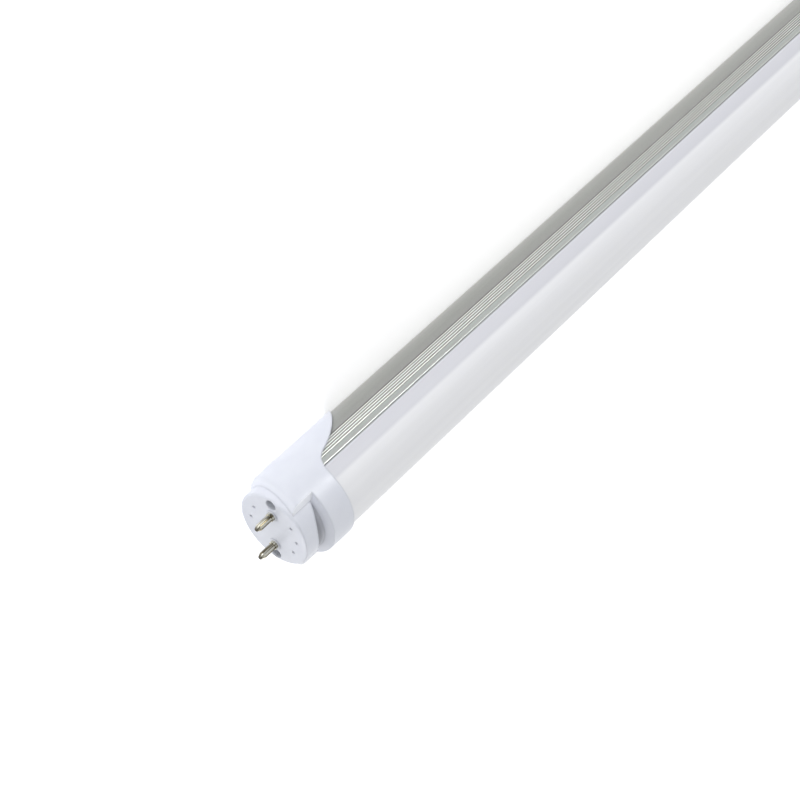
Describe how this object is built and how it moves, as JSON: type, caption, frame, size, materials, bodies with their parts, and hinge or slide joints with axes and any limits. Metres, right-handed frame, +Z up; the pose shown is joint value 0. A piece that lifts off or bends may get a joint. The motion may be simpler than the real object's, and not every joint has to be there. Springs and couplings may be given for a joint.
{
  "type": "led tube",
  "caption": "Straight retrofit tube lamp: half aluminium heat sink, half frosted diffuser, white end caps with contact pins.",
  "frame": {"origin": "centre of the footprint, on the surface that the tube lies on", "axes": "+X along the tube towards the front end, +Z up through the diffuser's crown, heat sink below"},
  "size_m": [0.604, 0.0316, 0.0315],
  "materials": {
    "aluminium": "satin anodised extrusion",
    "diffuser": "frosted, extruded",
    "cap_plastic": "white, moulded, soft gloss",
    "pin_metal": "nickel plated, drawn",
    "screw_steel": "zinc plated",
    "board_white": "white solder mask on aluminium",
    "led_phosphor": "yellow phosphor under silicone",
    "thermal_tape": "soft pad",
    "board_green": "glass epoxy, solder mask",
    "insulator_film": "polyester film",
    "silicone": "cured silicone",
    "black_epoxy": "moulded epoxy",
    "resistor_ceramic": "flameproof lacquer",
    "capacitor_case": "potted case",
    "capacitor_sleeve": "shrink sleeve",
    "ferrite": "ground ferrite",
    "bobbin": "moulded phenolic",
    "winding_tape": "polyester tape",
    "lead_red": "insulated wire",
    "lead_black": "insulated wire",
    "lead_white": "insulated wire"
  },
  "bodies": {
    "root": {"heat_sink": "aluminium", "diffuser": "diffuser", "led_board": "board_white", "thermal_tape": "thermal_tape", "led_chips": "led_phosphor", "driver_insulator": "insulator_film", "driver_board": "board_green", "driver_adhesive": "silicone", "fusible_resistor": "resistor_ceramic", "mains_capacitor": "capacitor_case", "noise_choke": "ferrite", "bridge_rectifier": "black_epoxy", "bulk_capacitor": "capacitor_sleeve", "transformer_core": "ferrite", "transformer_bobbin": "bobbin", "transformer_winding": "winding_tape", "control_chip": "black_epoxy", "output_diode": "black_epoxy", "output_capacitor": "capacitor_sleeve", "live_lead": "lead_white", "neutral_lead": "lead_white", "rear_pin_link": "lead_white", "positive_lead": "lead_red", "negative_lead": "lead_black", "front_cap": "cap_plastic", "front_left_pin": "pin_metal", "front_right_pin": "pin_metal", "front_cap_screws": "screw_steel", "rear_cap": "cap_plastic", "rear_left_pin": "pin_metal", "rear_right_pin": "pin_metal", "rear_cap_screws": "screw_steel"}
  },
  "joints": []
}
